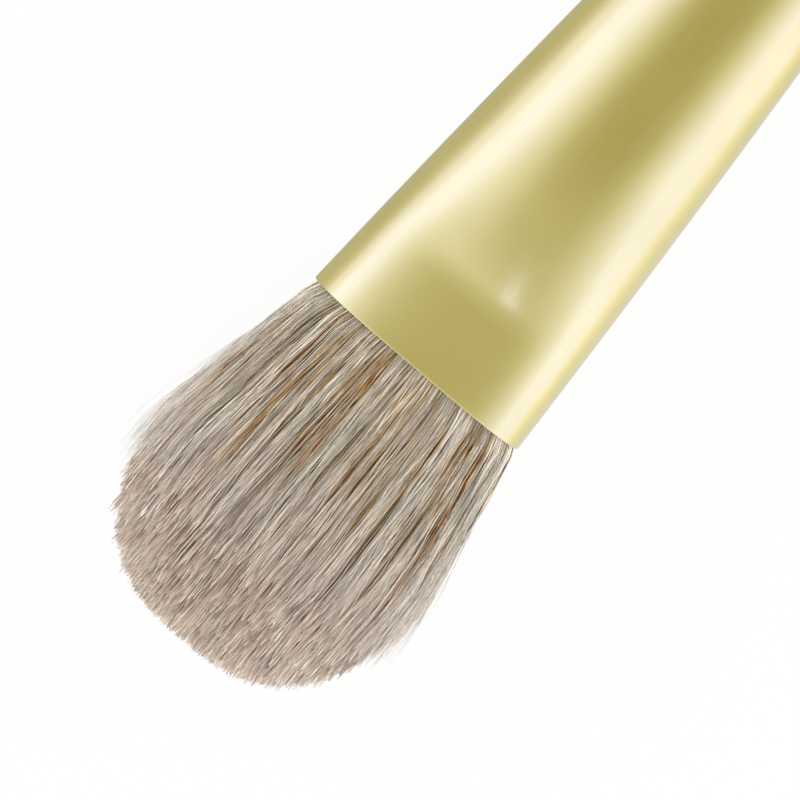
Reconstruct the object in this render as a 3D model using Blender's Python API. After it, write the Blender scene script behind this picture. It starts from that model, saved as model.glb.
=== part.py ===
"""Contour brush with a domed tuft of soft hair, a pinched ferrule and a turned handle.

The brush lies on its flat side along X, with the hair towards -X and the handle towards +X. Every piece is
built in the brush's own frame, where the mouth of the ferrule is the origin and X runs down the axis to the
handle. One empty then places that frame, so that the box round the whole brush stands on the origin.
"""

import math
import random

import bmesh
import bpy
from mathutils import Vector

MM = 0.001

# Tuft, measured from the mouth of the ferrule
TUFT_LENGTH = 26.0 * MM
BELLY_WIDTH = 23.9 * MM
BELLY_THICKNESS = 16.6 * MM
BELLY_PLACE_SHARE = 0.54
SPREAD_POWER = 1.45
DOME_SIDE_POWER = 3.4
DOME_TOP_POWER = 1.68

# Strands, laid out in columns across the width of the root
LOCK_COUNT = 7
COLUMNS_PER_LOCK = 4
ROW_PITCH_SHARE = 1.15
STRAND_SIDES = 3
STRAND_RADIUS_SHARES = (0.37, 0.56, 0.64)
STRAND_STATION_SHARES = (0.0, 0.3, 0.66)
BASE_MARGIN_SHARE = 0.5
ROW_LEAN_SHARE = 0.25
COUNT_TOLERANCE_SHARE = 0.001
TIP_GATHER_SHARE = 0.86
TIP_UNEVENNESS = 0.7 * MM
ROOT_RECESS = 0.4 * MM
ROOT_LENGTH = 18.0 * MM

# Ferrule
FERRULE_LENGTH = 45.0 * MM
FERRULE_WALL = 0.45 * MM
MOUTH_WIDTH = 18.76 * MM
MOUTH_THICKNESS = 14.0 * MM
FERRULE_REAR_DIAMETER = 12.6 * MM
FERRULE_BOW = 0.2 * MM
PINCH_LENGTH = 6.8 * MM
PINCH_CROWN_RADIUS = 17.5 * MM
PINCH_EDGE_SOFTNESS = 1.0 * MM
CREASE_SOFTNESS = 1.0 * MM
FLANK_LENGTH = 13.5 * MM
FLANK_POWER = 2
RIM_ROUNDING = 0.15 * MM

# Crimps that lock the ferrule on the tenon
CRIMP_COUNT = 2
CRIMP_SETBACK = 3.2 * MM
CRIMP_PITCH = 2.4 * MM
CRIMP_WIDTH = 1.5 * MM
CRIMP_DEPTH = 0.45 * MM

# Handle, with its length taken from the rear edge of the ferrule
HANDLE_LENGTH = 99.0 * MM
SWELL_DIAMETER = 14.6 * MM
SWELL_PLACE_SHARE = 0.30
TAIL_DIAMETER = 8.4 * MM
NOSE_LENGTH = 6.0 * MM
BUTT_FLAT_DIAMETER = 3.2 * MM
SHOULDER_ROUNDING = 0.35 * MM
TENON_LENGTH = 13.0 * MM
TENON_DIAMETER = 11.1 * MM
TENON_CHAMFER = 0.8 * MM

# Hidden fixings
BINDING_LENGTH = 3.6 * MM
BINDING_SETBACK = 1.2 * MM
BINDING_DEPTH = 1.1 * MM
BINDING_EDGE = 0.25 * MM
PLUG_LENGTH = 4.6 * MM
PLUG_DISH = 1.1 * MM
CEMENT_LENGTH = 5.0 * MM
CEMENT_OVERHANG = 0.6 * MM

# Clearance between pieces that touch on the real brush
FIT_CLEARANCE = 0.3 * MM

# Facets round the turned and lofted pieces, and steps that find a place on a section
FERRULE_FACETS = 48
HANDLE_FACETS = 36
INNER_FACETS = 28
HALVINGS = 30


def clear_scene():
    """Remove every object, so that the brush is built in an empty file."""
    for item in list(bpy.data.objects):
        bpy.data.objects.remove(item, do_unlink=True)


def finish(name, color, roughness, metallic=0.0, coat=0.0, sheen=0.0):
    """Make a Principled material for one sub-part."""
    material = bpy.data.materials.new(name)
    material.use_nodes = True
    shader = material.node_tree.nodes["Principled BSDF"]
    shader.inputs["Base Color"].default_value = (*color, 1.0)
    shader.inputs["Roughness"].default_value = roughness
    shader.inputs["Metallic"].default_value = metallic
    shader.inputs["Coat Weight"].default_value = coat
    shader.inputs["Sheen Weight"].default_value = sheen
    return material


def brush_frame():
    """Place the brush's own frame: centred along X, with the lowest point of the brush at Z = 0."""
    overall = TUFT_LENGTH + FERRULE_LENGTH + HANDLE_LENGTH
    widest_round = max(section_radius(d, math.radians(90.0), 0.0) for d in ferrule_stations())
    height = max(widest_round, SWELL_DIAMETER / 2, BELLY_THICKNESS / 2)
    frame = bpy.data.objects.new("brush_frame", None)
    frame.location = (TUFT_LENGTH - overall / 2, 0.0, height)
    bpy.context.scene.collection.objects.link(frame)
    return frame


def add_piece(name, bm, material, frame, sharp_angle=None):
    """Turn a finished bmesh into a named object under the brush's frame."""
    bmesh.ops.recalc_face_normals(bm, faces=bm.faces)
    mesh = bpy.data.meshes.new(name)
    bm.to_mesh(mesh)
    bm.free()
    mesh.materials.append(material)
    if sharp_angle is not None:
        mesh.shade_smooth()
        mesh.set_sharp_from_angle(angle=math.radians(sharp_angle))
    piece = bpy.data.objects.new(name, mesh)
    piece.parent = frame
    bpy.context.scene.collection.objects.link(piece)
    return piece


def ease(share):
    """Go from 0 to 1 with level ends."""
    return (1.0 - math.cos(math.pi * share)) / 2


def blend(start, end, share):
    """Point on the straight run from start to end."""
    return start + (end - start) * share


def spaced(start, end, count):
    """Evenly spaced values from start to end, both included."""
    return [blend(start, end, index / (count - 1)) for index in range(count)]


def soft_min(first, second, softness):
    """Smaller of two lengths, with the change-over rounded across the softness."""
    overlap = max(softness - abs(first - second), 0.0)
    return min(first, second) - overlap * overlap / (4 * softness)


def ferrule_taper(d):
    """Outer radius of the ferrule's round form, at distance d from the mouth."""
    share = d / FERRULE_LENGTH
    return blend(MOUTH_WIDTH, FERRULE_REAR_DIAMETER, share) / 2 + FERRULE_BOW * 4 * share * (1 - share)


def soft_positive(value, softness):
    """The value where it is above zero, else zero, with the change-over rounded across the softness."""
    return -soft_min(-value, 0.0, softness)


def pinch_left(d):
    """Share of the pinch that is left at distance d from the mouth: all of it up to the crease."""
    past = soft_positive(d - PINCH_LENGTH, CREASE_SOFTNESS)
    return max(1.0 - past / FLANK_LENGTH, 0.0) ** FLANK_POWER


def section_radius(d, angle, inset):
    """Radius of the ferrule's section in one direction, drawn in by the inset.

    The pinched section is the round form cut by two crowned sides. A side of height h and crown radius c is
    the curve z = h - y * y / (2 * c), and its radius along the angle is the root of that quadratic. Behind
    the crease the section goes back to the round form.
    """
    round_radius = ferrule_taper(d) - inset
    height = MOUTH_THICKNESS / 2 - inset
    rise = abs(math.sin(angle))
    crown = 2 * height * math.cos(angle) ** 2 / PINCH_CROWN_RADIUS
    side_radius = 2 * height / (rise + math.sqrt(rise * rise + crown))
    pinched_radius = soft_min(round_radius, side_radius, PINCH_EDGE_SOFTNESS)
    return blend(round_radius, pinched_radius, pinch_left(d))


def section_height(d, y, inset):
    """Half-thickness of the section at the place y across it, found by halving the range of angles."""
    low, high = 0.0, math.pi / 2
    for _ in range(HALVINGS):
        middle = (low + high) / 2
        if section_radius(d, middle, inset) * math.cos(middle) > abs(y):
            low = middle
        else:
            high = middle
    return section_radius(d, low, inset) * math.sin(low)


def crimp_centres():
    """Distances of the crimps from the mouth."""
    return [FERRULE_LENGTH - CRIMP_SETBACK - CRIMP_PITCH * index for index in range(CRIMP_COUNT)]


def crimp_depth(d):
    """How far the wall is pressed in at distance d from the mouth."""
    pressed = 0.0
    for centre in crimp_centres():
        offset = abs(d - centre) / (CRIMP_WIDTH / 2)
        if offset < 1.0:
            pressed += CRIMP_DEPTH * ease(1.0 - offset)
    return pressed


def crimp_stations():
    """Places along the axis that draw each crimp's rounded trough."""
    shares = (-1.0, -0.5, 0.0, 0.5, 1.0)
    return sorted(centre + share * CRIMP_WIDTH / 2 for centre in crimp_centres() for share in shares)


def ferrule_stations():
    """Places along the outside of the ferrule, closest together over the crease."""
    crease_start, crease_end = PINCH_LENGTH - CREASE_SOFTNESS, PINCH_LENGTH + CREASE_SOFTNESS
    flank_end = PINCH_LENGTH + FLANK_LENGTH
    crimps = crimp_stations()
    mouth = spaced(RIM_ROUNDING, crease_start, 3)
    crease = spaced(crease_start, crease_end, 5)[1:]
    flank = spaced(crease_end, flank_end, 8)[1:]
    body = spaced(flank_end, crimps[0], 4)[1:-1]
    return mouth + crease + flank + body + crimps + [FERRULE_LENGTH - RIM_ROUNDING]


def bore_stations():
    """Places along the inside of the ferrule, about half as many as outside."""
    crease_start, crease_end = PINCH_LENGTH - CREASE_SOFTNESS, PINCH_LENGTH + CREASE_SOFTNESS
    flank = spaced(crease_end, PINCH_LENGTH + FLANK_LENGTH, 5)
    return ([RIM_ROUNDING, crease_start, PINCH_LENGTH] + flank + crimp_stations()
            + [FERRULE_LENGTH - RIM_ROUNDING])


def bore_radius(d):
    """Inner radius of the ferrule's round rear."""
    return ferrule_taper(d) - FERRULE_WALL - crimp_depth(d)


def ring(bm, d, radius_at, facets):
    """Add one ring of vertices round the axis, where radius_at gives the radius for an angle."""
    points = []
    for index in range(facets):
        angle = 2 * math.pi * index / facets
        radius = radius_at(angle)
        points.append(bm.verts.new((d, radius * math.cos(angle), radius * math.sin(angle))))
    return points


def join_rings(bm, first, second):
    """Add the faces between two rings with as many vertices each."""
    for index in range(len(first)):
        after = (index + 1) % len(first)
        bm.faces.new((first[index], first[after], second[after], second[index]))


def build_ferrule(material, frame):
    """Loft the thin tube from its pinched mouth to its crimped rear, as one closed wall."""
    bm = bmesh.new()

    def wall_ring(d, inset):
        pressed = crimp_depth(d)
        return ring(bm, d, lambda angle: section_radius(d, angle, inset) - pressed, FERRULE_FACETS)

    rings = [wall_ring(0.0, FERRULE_WALL / 2)]
    rings += [wall_ring(d, 0.0) for d in ferrule_stations()]
    rings.append(wall_ring(FERRULE_LENGTH, FERRULE_WALL / 2))
    rings += [wall_ring(d, FERRULE_WALL) for d in reversed(bore_stations())]
    for index, current in enumerate(rings):
        join_rings(bm, current, rings[(index + 1) % len(rings)])
    add_piece("ferrule", bm, material, frame, sharp_angle=50.0)


def skin(name, sections, facets, material, frame, closed_loop=False):
    """Skin a row of (distance, radius function) sections; a solid's row ends on its flat faces."""
    bm = bmesh.new()
    rings = [ring(bm, d, radius_at, facets) for d, radius_at in sections]
    for first, second in zip(rings, rings[1:]):
        join_rings(bm, first, second)
    if closed_loop:
        join_rings(bm, rings[-1], rings[0])
    else:
        bm.faces.new(rings[0])
        bm.faces.new(rings[-1])
    add_piece(name, bm, material, frame, sharp_angle=35.0)


def turned(profile):
    """Round sections for a profile of (distance, radius) points."""
    return [(d, lambda angle, radius=radius: radius) for d, radius in profile]


def fitted(profile):
    """Sections like the ferrule's own, drawn in, for a profile of (distance, inset) points."""
    return [(d, lambda angle, d=d, inset=inset: section_radius(d, angle, inset)) for d, inset in profile]


def tenon_profile():
    """Tenon from its chamfered front to the shoulder, drawn in where the crimps bite."""
    front = FERRULE_LENGTH - TENON_LENGTH
    radius = TENON_DIAMETER / 2
    profile = [(front, radius - TENON_CHAMFER), (front + TENON_CHAMFER, radius)]
    for d in crimp_stations():
        profile.append((d, min(radius, bore_radius(d) - FIT_CLEARANCE)))
    profile.append((FERRULE_LENGTH + FIT_CLEARANCE, radius))
    return profile


def handle_profile():
    """Handle from the shoulder through the swell and the long taper to the rounded butt."""
    start = FERRULE_LENGTH + FIT_CLEARANCE
    end = FERRULE_LENGTH + HANDLE_LENGTH
    swell_at = blend(start, end, SWELL_PLACE_SHARE)
    nose_at = end - NOSE_LENGTH
    joint_radius = FERRULE_REAR_DIAMETER / 2
    swell_radius = SWELL_DIAMETER / 2
    tail_radius = TAIL_DIAMETER / 2
    flat_radius = BUTT_FLAT_DIAMETER / 2
    profile = [(start, joint_radius - SHOULDER_ROUNDING)]
    for share in spaced(0.0, 1.0, 7):
        d = blend(start + SHOULDER_ROUNDING, swell_at, share)
        profile.append((d, blend(joint_radius, swell_radius, ease(share))))
    for share in spaced(0.0, 1.0, 12)[1:]:
        profile.append((blend(swell_at, nose_at, share), blend(swell_radius, tail_radius, ease(share))))
    for share in spaced(0.0, 1.0, 6)[1:]:
        turned = share * math.pi / 2
        profile.append((nose_at + NOSE_LENGTH * math.sin(turned),
                        blend(flat_radius, tail_radius, math.cos(turned))))
    return profile


def build_handle(material, frame):
    """Turn the handle and its tenon from one piece of wood."""
    skin("handle", turned(tenon_profile() + handle_profile()), HANDLE_FACETS, material, frame)


def binding_span():
    """Front and rear of the thread's seat near the rear of the packed root."""
    rear = ROOT_LENGTH - BINDING_SETBACK
    return rear - BINDING_LENGTH, rear


def build_binding(material, frame):
    """Ring of wound thread in the waist of the root, clear of the bore and of the hair."""
    front, rear = binding_span()
    wall = FERRULE_WALL + FIT_CLEARANCE
    seat = wall + BINDING_DEPTH - FIT_CLEARANCE
    profile = [(front, wall + BINDING_EDGE), (front + BINDING_EDGE, wall), (rear - BINDING_EDGE, wall),
               (rear, wall + BINDING_EDGE), (rear, seat), (front, seat)]
    skin("root_binding", fitted(profile), INNER_FACETS, material, frame, closed_loop=True)


def build_plug(material, frame):
    """Resin behind the root, with the dished rear face that it sets with."""
    front = ROOT_LENGTH + FIT_CLEARANCE
    rear = front + PLUG_LENGTH
    wall = FERRULE_WALL + FIT_CLEARANCE
    dish = [(rear - PLUG_DISH * (1.0 - share * share), share * section_radius(rear, 0.0, wall))
            for share in (0.85, 0.6, 0.3)]
    skin("resin_plug", fitted([(front, wall), (rear, wall)]) + turned(dish), INNER_FACETS, material, frame)


def build_cement(material, frame):
    """Wedge of cement between the front of the tenon and the widening bore."""
    front = FERRULE_LENGTH - TENON_LENGTH + TENON_CHAMFER - CEMENT_OVERHANG
    rear = front + CEMENT_LENGTH
    inner = TENON_DIAMETER / 2 + FIT_CLEARANCE
    profile = [(front, bore_radius(front) - FIT_CLEARANCE), (rear, bore_radius(rear) - FIT_CLEARANCE),
               (rear, inner), (front, inner)]
    skin("cement_collar", turned(profile), INNER_FACETS, material, frame, closed_loop=True)


def root_inset(d):
    """How far the packed root keeps inside the ferrule's outer form, deeper in the binding's waist."""
    front, rear = binding_span()
    inset = FERRULE_WALL + FIT_CLEARANCE
    if front - FIT_CLEARANCE <= d <= rear + FIT_CLEARANCE:
        inset += BINDING_DEPTH
    return inset


def root_half_width(d):
    """Half-width of the packed root at distance d inside the mouth."""
    return ferrule_taper(d) - root_inset(d)


def column_pitch():
    """Distance between neighbouring columns of one lock at the front of the root."""
    room = 2 * root_half_width(ROOT_RECESS) - (LOCK_COUNT - 1) * FIT_CLEARANCE
    return room / (LOCK_COUNT * COLUMNS_PER_LOCK)


def lock_edges(number, d):
    """Both sides of one lock's slice of the root, which follows the root's width along the axis."""
    full = root_half_width(ROOT_RECESS)
    scale = root_half_width(d) / full
    step = COLUMNS_PER_LOCK * column_pitch() + FIT_CLEARANCE
    low = -full + number * step
    high = low + step - FIT_CLEARANCE
    middle_low = (low - FIT_CLEARANCE / 2) * scale + FIT_CLEARANCE / 2
    middle_high = (high + FIT_CLEARANCE / 2) * scale - FIT_CLEARANCE / 2
    if number == 0:
        middle_low = -root_half_width(d)
    if number == LOCK_COUNT - 1:
        middle_high = root_half_width(d)
    return middle_low, middle_high


def lock_outline(number, d):
    """Outline of one lock's slice, as (y, z) points round it: over the top and back underneath."""
    low, high = lock_edges(number, d)
    inset = root_inset(d)
    half_width = root_half_width(d)
    outermost = number in (0, LOCK_COUNT - 1)
    steps = 5 if outermost else 3
    turns = spaced(math.acos(max(low / half_width, -1.0)), math.acos(min(high / half_width, 1.0)), steps)
    across = [half_width * math.cos(angle) for angle in turns]
    top = [(y, section_height(d, y, inset)) for y in across]
    under = [(y, -z) for y, z in reversed(top)]
    if number == 0:
        return top + under[:-1]
    if number == LOCK_COUNT - 1:
        return top + under[1:]
    return top + under


def outline_height(outline, y):
    """Half-thickness of a faceted outline at the place y across it."""
    top = [point for point in outline if point[1] >= 0.0]
    for (y_near, z_near), (y_far, z_far) in zip(top, top[1:]):
        if y_near <= y <= y_far:
            return blend(z_near, z_far, (y - y_near) / (y_far - y_near))
    return 0.0


def root_stations():
    """Places along the packed root, with the steps of the binding's waist."""
    front, rear = binding_span()
    step = FIT_CLEARANCE
    return [ROOT_RECESS, PINCH_LENGTH - CREASE_SOFTNESS, PINCH_LENGTH, PINCH_LENGTH + CREASE_SOFTNESS,
            front - 2 * step, front - step, rear + step, rear + 2 * step, ROOT_LENGTH]


def row_places():
    """Heights of the rows of strands on the front of the root, spread to fill its thickness."""
    pitch = column_pitch()
    reach = section_height(ROOT_RECESS, 0.0, root_inset(ROOT_RECESS)) - BASE_MARGIN_SHARE * pitch
    gaps = int(2 * reach / (ROW_PITCH_SHARE * pitch) + COUNT_TOLERANCE_SHARE)
    return spaced(-reach, reach, gaps + 1)


def strand_places(number):
    """Places where strands grow on the front of one lock's slice.

    Each is (y, z, fan): its place on the root, and its place across the tuft above the mouth, as a share of
    the tuft's half-width. There the gaps between the locks close up, and alternate rows interleave.
    """
    pitch = column_pitch()
    outline = lock_outline(number, ROOT_RECESS)
    low, _ = lock_edges(number, ROOT_RECESS)
    places = []
    for column in range(COLUMNS_PER_LOCK):
        y = low + (column + 0.5) * pitch
        corners = (y - STRAND_RADIUS_SHARES[0] * pitch, y, y + STRAND_RADIUS_SHARES[0] * pitch)
        reach = min(outline_height(outline, corner) for corner in corners) - BASE_MARGIN_SHARE * pitch
        for row, z in enumerate(row_places()):
            if abs(z) <= reach * (1.0 + COUNT_TOLERANCE_SHARE):
                lean = ROW_LEAN_SHARE * (-1) ** row
                ordinal = number * COLUMNS_PER_LOCK + column + 0.5 + lean
                places.append((y, z, 2 * ordinal / (LOCK_COUNT * COLUMNS_PER_LOCK) - 1.0))
    return places


def tuft_point(u, v, share, unevenness):
    """Point of a strand's centre line.

    Args:
        u, v: the strand's place across the tuft, as shares of its half-width and half-thickness.
        share: how far along the strand, from 0 at the root to 1 at the tip.
        unevenness: how much this strand stops short.
    """
    belly = BELLY_PLACE_SHARE * TUFT_LENGTH
    reach = min(math.hypot(u, v), 1.0) * TIP_GATHER_SHARE
    dome = (1.0 - reach ** DOME_SIDE_POWER) ** (1.0 / DOME_TOP_POWER)
    tip = belly + (TUFT_LENGTH - belly) * dome - unevenness
    length = blend(-ROOT_RECESS, tip, share)
    root_width = root_half_width(ROOT_RECESS)
    root_height = section_height(ROOT_RECESS, 0.0, root_inset(ROOT_RECESS))
    if length <= belly:
        spread = 1.0 - (1.0 - (length + ROOT_RECESS) / (belly + ROOT_RECESS)) ** SPREAD_POWER
        width = blend(root_width, BELLY_WIDTH / 2, spread)
        height = blend(root_height, BELLY_THICKNESS / 2, spread)
    else:
        gather = (1.0 - TIP_GATHER_SHARE) * ((length - belly) / (tip - belly)) ** 2
        width = BELLY_WIDTH / 2 * (1.0 - gather)
        height = BELLY_THICKNESS / 2 * (1.0 - gather)
    return Vector((-length, u * width, v * height))


def add_strand(bm, place, unevenness):
    """Raise one tapered strand from the front of the root, and return the edges of its base."""
    y, z, fan = place
    v = z / section_height(ROOT_RECESS, 0.0, root_inset(ROOT_RECESS))
    loops = []
    for share, radius_share in zip(STRAND_STATION_SHARES, STRAND_RADIUS_SHARES):
        u = fan if share > 0.0 else y / root_half_width(ROOT_RECESS)
        centre = tuft_point(u, v, share, unevenness)
        radius = radius_share * column_pitch()
        loop = []
        for side in range(STRAND_SIDES):
            angle = 2 * math.pi * side / STRAND_SIDES + math.pi / 2
            offset = Vector((0.0, radius * math.cos(angle), radius * math.sin(angle)))
            loop.append(bm.verts.new(centre + offset))
        loops.append(loop)
    for first, second in zip(loops, loops[1:]):
        join_rings(bm, first, second)
    tip = bm.verts.new(tuft_point(fan, v, 1.0, unevenness))
    last = loops[-1]
    for index in range(STRAND_SIDES):
        bm.faces.new((last[index], last[(index + 1) % STRAND_SIDES], tip))
    return loop_edges(bm, loops[0])


def loop_edges(bm, loop):
    """Edges that join a closed loop of vertices."""
    return [bm.edges.get((loop[index], loop[(index + 1) % len(loop)])) for index in range(len(loop))]


def build_lock(number, material, frame):
    """One lock of the tuft: its slice of the packed root with the strands that grow out of its front."""
    bm = bmesh.new()
    rings = []
    for d in root_stations():
        rings.append([bm.verts.new((d, y, z)) for y, z in lock_outline(number, d)])
    for first, second in zip(rings, rings[1:]):
        join_rings(bm, first, second)
    bm.faces.new(rings[-1])
    edges = loop_edges(bm, rings[0])
    dice = random.Random(number)
    for place in strand_places(number):
        edges += add_strand(bm, place, TIP_UNEVENNESS * dice.random())
    bmesh.ops.triangle_fill(bm, use_beauty=True, use_dissolve=False, edges=edges, normal=(-1.0, 0.0, 0.0))
    add_piece(f"hair_lock_{number + 1}", bm, material, frame)


def build_tuft(frame):
    """All the locks, side by side across the width of the mouth."""
    for number in range(LOCK_COUNT):
        tone = 0.92 + 0.08 * math.cos(math.pi * number)
        material = finish(f"hair_{number + 1}", (0.50 * tone, 0.43 * tone, 0.36 * tone), 0.75, sheen=0.3)
        build_lock(number, material, frame)


def main():
    """Build the whole brush."""
    clear_scene()
    frame = brush_frame()
    build_tuft(frame)
    build_binding(finish("binding_thread", (0.62, 0.55, 0.42), 0.85), frame)
    build_plug(finish("resin", (0.55, 0.38, 0.16), 0.25, coat=0.5), frame)
    build_ferrule(finish("gold_anodised_aluminium", (0.83, 0.74, 0.42), 0.28, metallic=1.0), frame)
    build_cement(finish("cement", (0.70, 0.66, 0.55), 0.6), frame)
    build_handle(finish("black_lacquer", (0.015, 0.014, 0.013), 0.22, coat=1.0), frame)


main()
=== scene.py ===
"""Dresses the contour brush: a tuft of fine hair, a satin gold ferrule, a lacquered handle, and the studio.

The brush lies along X with its hair towards -X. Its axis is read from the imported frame. Sizes are in metres
and are those of the solids, but the ferrule's pinch has a rounder corner and a longer flank.
"""

import logging
import math
from collections.abc import Sequence
from dataclasses import dataclass, field
from enum import Enum

import bpy
import numpy as np
from mathutils import Matrix, Vector


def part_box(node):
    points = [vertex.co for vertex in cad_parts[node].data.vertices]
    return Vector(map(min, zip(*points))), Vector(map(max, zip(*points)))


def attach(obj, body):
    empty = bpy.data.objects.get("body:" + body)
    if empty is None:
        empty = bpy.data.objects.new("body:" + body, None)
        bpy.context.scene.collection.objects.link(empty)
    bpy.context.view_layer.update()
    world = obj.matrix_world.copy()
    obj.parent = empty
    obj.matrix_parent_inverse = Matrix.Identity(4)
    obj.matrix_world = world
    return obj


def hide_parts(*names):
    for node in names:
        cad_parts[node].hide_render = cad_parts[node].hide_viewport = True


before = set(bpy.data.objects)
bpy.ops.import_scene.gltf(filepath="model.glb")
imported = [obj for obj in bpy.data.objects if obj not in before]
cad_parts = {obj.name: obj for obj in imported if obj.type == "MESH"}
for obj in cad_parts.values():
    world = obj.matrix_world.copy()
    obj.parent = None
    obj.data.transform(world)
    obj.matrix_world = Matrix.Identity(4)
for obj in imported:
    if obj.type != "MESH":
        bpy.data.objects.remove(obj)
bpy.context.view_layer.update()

LOG = logging.getLogger("contour_brush")
CHART = "OFBake"
MM = 0.001
TINY = 1e-6
FULL_TURN = 2 * math.pi
Color = tuple[float, float, float]
Dice = np.random.Generator
Socket = bpy.types.NodeSocket
# Low end, high end, result at the low end and result at the high end.
Range = tuple[float, float, float, float]


def srgb(red: int, green: int, blue: int) -> Color:
    """Turn a colour as a screen shows it into the linear values that a shader takes.

    Args:
        red: red from 0 to 255.
        green: green from 0 to 255.
        blue: blue from 0 to 255.

    Returns:
        The colour in linear light.
    """
    def channel(value: int) -> float:
        """Linear light of one channel."""
        share = value / 255
        return share / 12.92 if share <= 0.04045 else ((share + 0.055) / 1.055) ** 2.4

    return channel(red), channel(green), channel(blue)


def new_object(name: str, data: bpy.types.ID) -> bpy.types.Object:
    """Make an object of a mesh, lamp or camera, and link it to the scene.

    Args:
        name: the object's name.
        data: what it shows.

    Returns:
        The new object.
    """
    thing = bpy.data.objects.new(name, data)
    bpy.context.scene.collection.objects.link(thing)
    return thing


def ring_angles(facets: int) -> np.ndarray:
    """Directions of a ring's points round the brush's axis, as one row."""
    return np.linspace(0.0, FULL_TURN, facets, endpoint=False)[None, :]


def ring_points(d: np.ndarray, radius: np.ndarray, facets: int) -> np.ndarray:
    """Points on rings round the brush's axis.

    Args:
        d: distance of each ring from the mouth, one row each.
        radius: radius of each ring, or of each of its points.
        facets: how many points a ring has.

    Returns:
        Points in the brush's own frame: ring, facet, coordinate.
    """
    angle = ring_angles(facets)
    y, z = radius * np.cos(angle), radius * np.sin(angle)
    return np.stack([np.broadcast_to(d, y.shape), y, z], axis=-1)


def smooth_step(value: np.ndarray | float) -> np.ndarray | float:
    """Ease from 0 to 1 with level ends; the value is clipped to that range first."""
    share = np.clip(value, 0.0, 1.0)
    return share * share * (3.0 - 2.0 * share)


class NodeSheet:
    """A node tree under work, with one call for each thing that a finish does to it."""

    def __init__(self, tree: bpy.types.NodeTree) -> None:
        """Start on a tree.

        Args:
            tree: the node tree of a material or a world.
        """
        self.tree = tree

    def add(self, kind: str, **settings: object) -> bpy.types.Node:
        """Add a node and set its properties.

        Args:
            kind: the node's type name.
            settings: properties of the node by name.

        Returns:
            The new node.
        """
        node = self.tree.nodes.new(kind)
        for name, value in settings.items():
            setattr(node, name, value)
        return node

    def join(self, source: Socket, target: Socket) -> None:
        """Link an output to an input."""
        self.tree.links.new(source, target)

    def feed(self, node: bpy.types.Node, values: dict[str | int, object]) -> bpy.types.Node:
        """Set or link the inputs of a node.

        Args:
            node: the node to feed.
            values: for each input, by name or number, a constant or another node's output.

        Returns:
            The same node.
        """
        for name, value in values.items():
            if isinstance(value, Socket):
                self.join(value, node.inputs[name])
            else:
                node.inputs[name].default_value = value
        return node

    def math(self, operation: str, first: object, second: object = 0.0, third: object = 0.0) -> Socket:
        """Add one arithmetic step.

        Args:
            operation: the Math node's operation.
            first: first number or socket.
            second: second number or socket.
            third: third number or socket, for the steps that take one.

        Returns:
            The result's socket.
        """
        node = self.add("ShaderNodeMath", operation=operation)
        return self.feed(node, {0: first, 1: second, 2: third}).outputs[0]

    def product(self, first: object, second: object) -> Socket:
        """Multiply two numbers or sockets."""
        return self.math("MULTIPLY", first, second)

    def span(self, value: object, low: float, high: float, out_low: float = 0.0,
             out_high: float = 1.0) -> Socket:
        """Map a range smoothly on to another.

        Args:
            value: the number or socket to map.
            low: value that gives out_low.
            high: value that gives out_high.
            out_low: result at the low end.
            out_high: result at the high end.

        Returns:
            The mapped value's socket.
        """
        node = self.add("ShaderNodeMapRange", interpolation_type="SMOOTHSTEP")
        return self.feed(node, {0: value, 1: low, 2: high, 3: out_low, 4: out_high}).outputs[0]

    def blend(self, share: object, first: object, second: object) -> Socket:
        """Mix two colours.

        Args:
            share: how much of the second colour shows.
            first: first colour or socket.
            second: second colour or socket.

        Returns:
            The mixed colour's socket.
        """
        node = self.add("ShaderNodeMix", data_type="RGBA")
        first, second = ((*color, 1.0) if isinstance(color, tuple) else color for color in (first, second))
        return self.feed(node, {0: share, 6: first, 7: second}).outputs[2]

    def scaled(self, color: object, factor: object) -> Socket:
        """Multiply a colour, given as numbers or a socket, by one number or socket."""
        node = self.add("ShaderNodeVectorMath", operation="SCALE")
        return self.feed(node, {0: color, "Scale": factor}).outputs[0]

    def combined(self, first: object, second: object, third: object) -> Socket:
        """Join three numbers or sockets into one colour or place."""
        return self.feed(self.add("ShaderNodeCombineXYZ"), {0: first, 1: second, 2: third}).outputs[0]

    def parts(self, place: Socket) -> Sequence[Socket]:
        """Take a place apart into its three numbers."""
        return self.feed(self.add("ShaderNodeSeparateXYZ"), {0: place}).outputs

    def own_place(self) -> Socket:
        """Place on the object itself, in metres."""
        return self.add("ShaderNodeTexCoord").outputs["Object"]

    def noise(self, place: Socket, scale: float, detail: float = 2.0) -> Socket:
        """Add a noise pattern.

        Args:
            place: the coordinates.
            scale: how fine the pattern is.
            detail: how many finer patterns are added.

        Returns:
            The pattern's value, about 0.5 on average.
        """
        node = self.add("ShaderNodeTexNoise")
        return self.feed(node, {"Vector": place, "Scale": scale, "Detail": detail}).outputs[0]

    def stretched_noise(self, place: Socket, scale: Sequence[float], detail: float = 2.0) -> Socket:
        """Add a noise pattern that is scaled unevenly.

        Args:
            place: the coordinates.
            scale: how fine the pattern is along X, Y and Z.
            detail: how many finer patterns are added.

        Returns:
            The pattern's value, about 0.5 on average.
        """
        node = self.feed(self.add("ShaderNodeMapping"), {"Vector": place, "Scale": scale})
        return self.noise(node.outputs[0], 1.0, detail)

    def bump(self, height: Socket, depth: float, strength: float = 1.0) -> Socket:
        """Add a bump.

        Args:
            height: pattern of heights from 0 to 1.
            depth: real height of the pattern in metres.
            strength: how much of it shows.

        Returns:
            The normal's socket.
        """
        node = self.add("ShaderNodeBump")
        return self.feed(node, {"Height": height, "Distance": depth, "Strength": strength}).outputs[0]


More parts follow.
